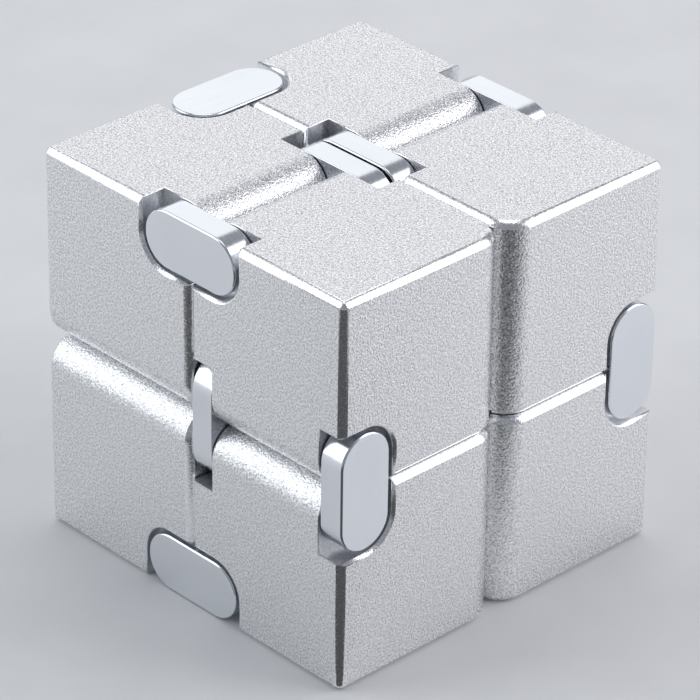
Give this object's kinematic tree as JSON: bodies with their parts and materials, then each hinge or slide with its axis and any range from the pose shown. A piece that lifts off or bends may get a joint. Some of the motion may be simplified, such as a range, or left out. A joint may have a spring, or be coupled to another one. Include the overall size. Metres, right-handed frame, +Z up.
{
  "type": "folding fidget cube",
  "caption": "Silver aluminium fidget cube of smaller blocks in an endless ring, joined by double-pin link hinges so that it folds over and over",
  "frame": {"origin": "middle of the closed cube's footprint, on the surface that it rests on", "axes": "+Z up; the two columns on +X are hinged at half height, front block row on -Y; the book hinges are on the -X face and the door hinges on the +Z and -Z faces"},
  "size_m": [0.04, 0.04, 0.04],
  "materials": {
    "blasted_aluminium": "bead-blasted, clear anodised, fine even grain",
    "satin_aluminium": "smooth satin, finer than the blocks",
    "pin_steel": "ground steel pin"
  },
  "bodies": {
    "front_right_column": {"front_right_top_block": "blasted_aluminium", "front_right_bottom_block": "blasted_aluminium", "front_waist_outer_link": "satin_aluminium", "front_waist_inner_link": "satin_aluminium", "front_waist_top_pin": "pin_steel", "front_waist_bottom_pin": "pin_steel"},
    "top_front_link_pair": {"top_front_outer_link": "satin_aluminium", "top_front_inner_link": "satin_aluminium", "top_front_right_pin": "pin_steel", "top_front_left_pin": "pin_steel"},
    "front_left_top": {"front_left_top_block": "blasted_aluminium"},
    "left_upper_link_pair": {"left_upper_outer_link": "satin_aluminium", "left_upper_inner_link": "satin_aluminium", "left_upper_back_pin": "pin_steel", "left_upper_front_pin": "pin_steel"},
    "back_left_top": {"back_left_top_block": "blasted_aluminium"},
    "top_back_link_pair": {"top_back_outer_link": "satin_aluminium", "top_back_inner_link": "satin_aluminium", "top_back_right_pin": "pin_steel", "top_back_left_pin": "pin_steel"},
    "back_right_column": {"back_right_top_block": "blasted_aluminium", "back_right_bottom_block": "blasted_aluminium", "back_waist_outer_link": "satin_aluminium", "back_waist_inner_link": "satin_aluminium", "back_waist_top_pin": "pin_steel", "back_waist_bottom_pin": "pin_steel"},
    "bottom_front_link_pair": {"bottom_front_outer_link": "satin_aluminium", "bottom_front_inner_link": "satin_aluminium", "bottom_front_right_pin": "pin_steel", "bottom_front_left_pin": "pin_steel"},
    "front_left_bottom": {"front_left_bottom_block": "blasted_aluminium"},
    "left_lower_link_pair": {"left_lower_outer_link": "satin_aluminium", "left_lower_inner_link": "satin_aluminium", "left_lower_back_pin": "pin_steel", "left_lower_front_pin": "pin_steel"},
    "back_left_bottom": {"back_left_bottom_block": "blasted_aluminium"},
    "bottom_back_link_pair": {"bottom_back_outer_link": "satin_aluminium", "bottom_back_inner_link": "satin_aluminium", "bottom_back_right_pin": "pin_steel", "bottom_back_left_pin": "pin_steel"}
  },
  "joints": [
    {"name": "top_door", "type": "hinge", "parent": "front_right_column", "child": "top_front_link_pair", "pos_m": [0.00308, -0.01, 0.037], "axis": [0, 1, 0], "range_deg": [0, 90]},
    {"name": "top_door_far_pin", "type": "hinge", "parent": "top_front_link_pair", "child": "front_left_top", "pos_m": [-0.00308, -0.01, 0.037], "axis": [0, 1, 0], "range_deg": [0, 90]},
    {"name": "book", "type": "hinge", "parent": "front_left_top", "child": "left_upper_link_pair", "pos_m": [-0.017, -0.00308, 0.03], "axis": [0, 0, 1], "range_deg": [0, 90]},
    {"name": "book_far_pin", "type": "hinge", "parent": "left_upper_link_pair", "child": "back_left_top", "pos_m": [-0.017, 0.00308, 0.03], "axis": [0, 0, 1], "range_deg": [0, 90]},
    {"name": "top_back_left_turn", "type": "hinge", "parent": "back_left_top", "child": "top_back_link_pair", "pos_m": [-0.00308, 0.01, 0.037], "axis": [0, 1, 0], "range_deg": [-90, 0]},
    {"name": "top_back_right_turn", "type": "hinge", "parent": "top_back_link_pair", "child": "back_right_column", "pos_m": [0.00308, 0.01, 0.037], "axis": [0, 1, 0], "range_deg": [-90, 0]},
    {"name": "bottom_door", "type": "hinge", "parent": "front_right_column", "child": "bottom_front_link_pair", "pos_m": [0.00308, -0.01, 0.003], "axis": [0, -1, 0], "range_deg": [0, 90]},
    {"name": "bottom_door_far_pin", "type": "hinge", "parent": "bottom_front_link_pair", "child": "front_left_bottom", "pos_m": [-0.00308, -0.01, 0.003], "axis": [0, -1, 0], "range_deg": [0, 90]},
    {"name": "lower_book_near_turn", "type": "hinge", "parent": "front_left_bottom", "child": "left_lower_link_pair", "pos_m": [-0.017, -0.00308, 0.01], "axis": [0, 0, 1], "range_deg": [0, 90]},
    {"name": "lower_book_far_turn", "type": "hinge", "parent": "left_lower_link_pair", "child": "back_left_bottom", "pos_m": [-0.017, 0.00308, 0.01], "axis": [0, 0, 1], "range_deg": [0, 90]},
    {"name": "bottom_back_left_turn", "type": "hinge", "parent": "back_left_bottom", "child": "bottom_back_link_pair", "pos_m": [-0.00308, 0.01, 0.003], "axis": [0, -1, 0], "range_deg": [-90, 0]}
  ],
  "couplings": [
    {"joint": "top_door_far_pin", "follows": "top_door", "ratio": 1},
    {"joint": "book_far_pin", "follows": "book", "ratio": 1},
    {"joint": "top_back_left_turn", "follows": "top_door", "ratio": -1},
    {"joint": "top_back_right_turn", "follows": "top_door", "ratio": -1},
    {"joint": "bottom_door_far_pin", "follows": "bottom_door", "ratio": 1},
    {"joint": "lower_book_near_turn", "follows": "book", "ratio": 1},
    {"joint": "lower_book_far_turn", "follows": "book", "ratio": 1},
    {"joint": "bottom_back_left_turn", "follows": "bottom_door", "ratio": -1}
  ]
}
